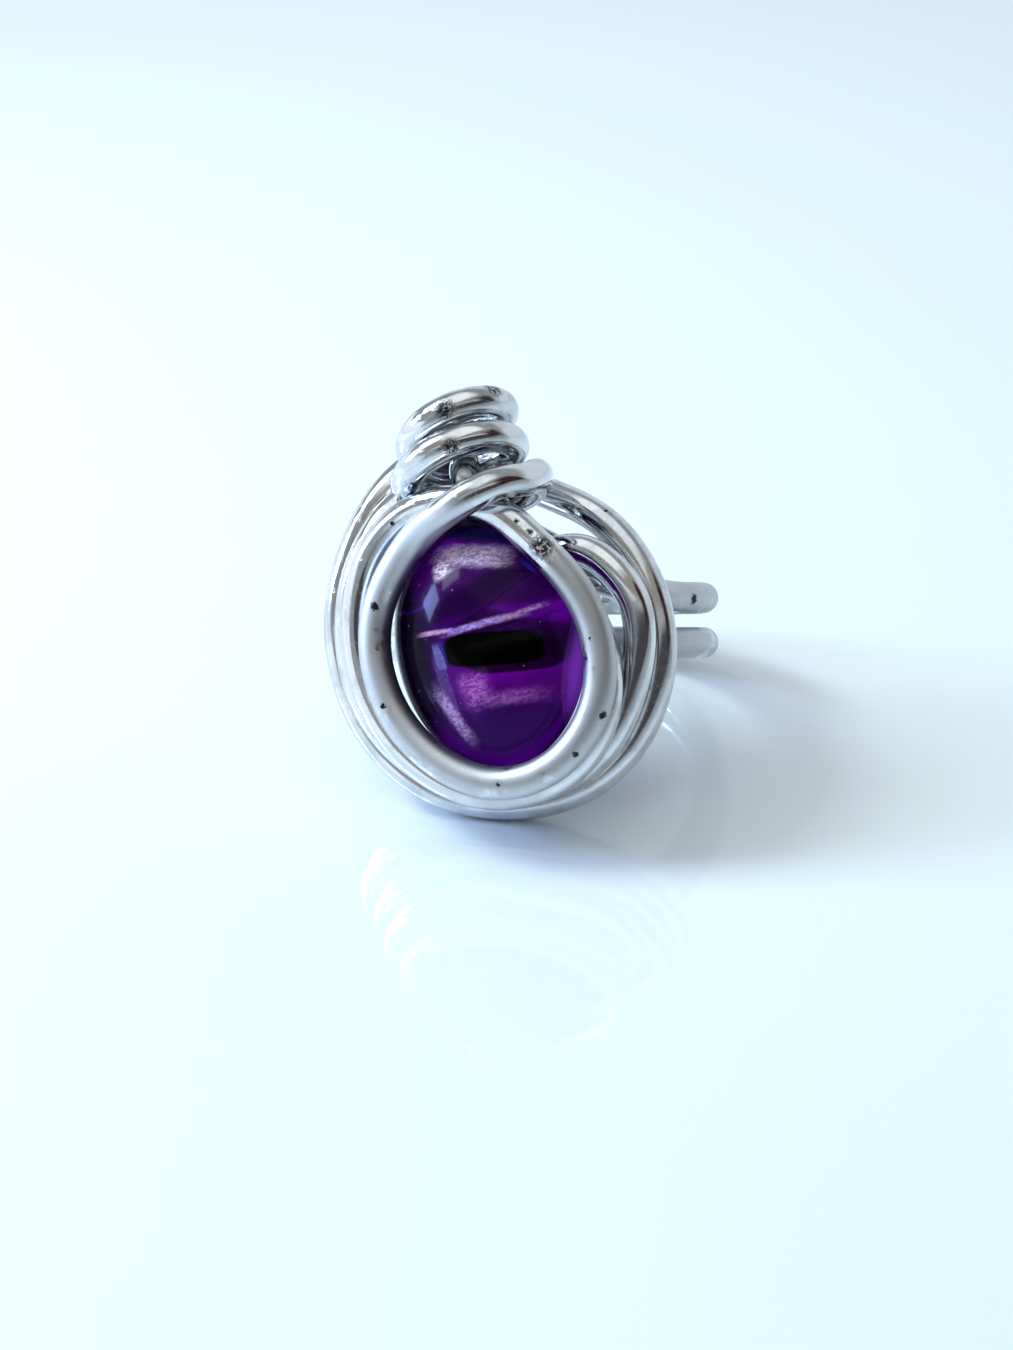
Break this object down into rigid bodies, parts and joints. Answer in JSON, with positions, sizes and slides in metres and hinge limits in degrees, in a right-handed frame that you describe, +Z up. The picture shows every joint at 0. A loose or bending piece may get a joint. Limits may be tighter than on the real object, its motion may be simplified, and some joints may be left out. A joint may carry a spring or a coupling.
{
  "type": "wire-wrapped cabochon ring",
  "caption": "Finger ring of round silver-coloured wire: a two-strand band, a nest of loops that holds a smooth oval purple stone, and a small coil at its top",
  "frame": {"origin": "middle of the bottom of the bounding box, on the surface that the ring rests on", "axes": "+Z up from the surface; the stone's face looks towards -Y and up, and the band reaches back towards +Y; +X is the right-hand side seen from the stone"},
  "size_m": [0.0234, 0.0296, 0.0263],
  "materials": {
    "wire": "bright, lightly scuffed",
    "stone": "polished"
  },
  "bodies": {
    "root": {"shank_wire": "wire", "setting_wire": "wire", "stone": "stone"}
  },
  "joints": []
}
